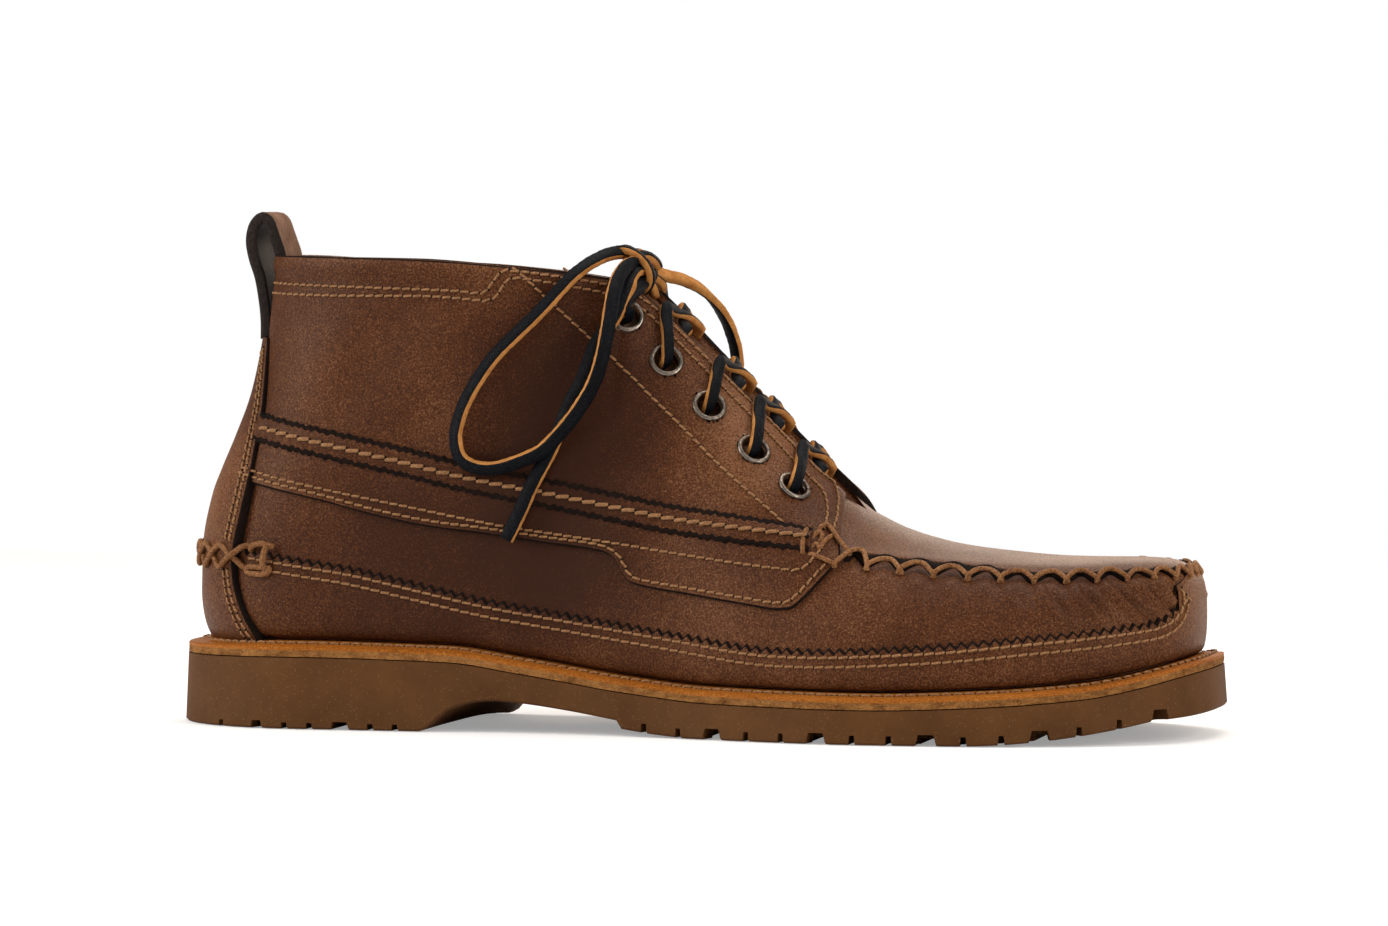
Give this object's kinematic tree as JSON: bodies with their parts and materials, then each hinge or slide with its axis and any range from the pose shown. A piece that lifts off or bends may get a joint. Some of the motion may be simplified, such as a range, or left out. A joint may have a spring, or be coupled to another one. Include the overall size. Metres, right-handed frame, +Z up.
{
  "type": "moccasin-toe ankle boot",
  "caption": "Right leather moccasin-toe ankle boot with a rubber lug sole, laced over its tongue and tied in a bow, with a pull loop at the back.",
  "frame": {"origin": "on the ground plane, below the middle of the outsole's length and width", "axes": "+X from the heel to the toe, +Y to the inner (medial) side of this right boot, +Z up"},
  "size_m": [0.302, 0.106, 0.1473],
  "materials": {
    "rubber": "matt gum rubber, dusty where it is cut",
    "midsole": "tan sole leather with a fibrous cut edge",
    "leather": "oiled brown leather with a fine grain and a soft sheen",
    "dark_leather": "near-black brown leather strap",
    "lining": "undyed inner side of the leather",
    "lace": "flat leather lace, dark face and tan cut edges",
    "metal": "antique metal, worn bright on its rim"
  },
  "bodies": {
    "root": {"outsole": "rubber", "midsole": "midsole", "insole": "lining", "upper": "leather", "tongue": "leather", "backstay": "leather", "pull_loop": "dark_leather", "eyelet_lateral_1": "metal", "eyelet_lateral_2": "metal", "eyelet_lateral_3": "metal", "eyelet_lateral_4": "metal", "eyelet_lateral_5": "metal", "eyelet_medial_1": "metal", "eyelet_medial_2": "metal", "eyelet_medial_3": "metal", "eyelet_medial_4": "metal", "eyelet_medial_5": "metal", "lace_crossing_1": "lace", "lace_crossing_2": "lace", "lace_crossing_3": "lace", "lace_crossing_4": "lace", "lace_crossing_5": "lace", "lace_knot": "lace", "lace_loop_lateral": "lace", "lace_loop_medial": "lace", "lace_end_lateral": "lace", "lace_end_medial": "lace"}
  },
  "joints": []
}
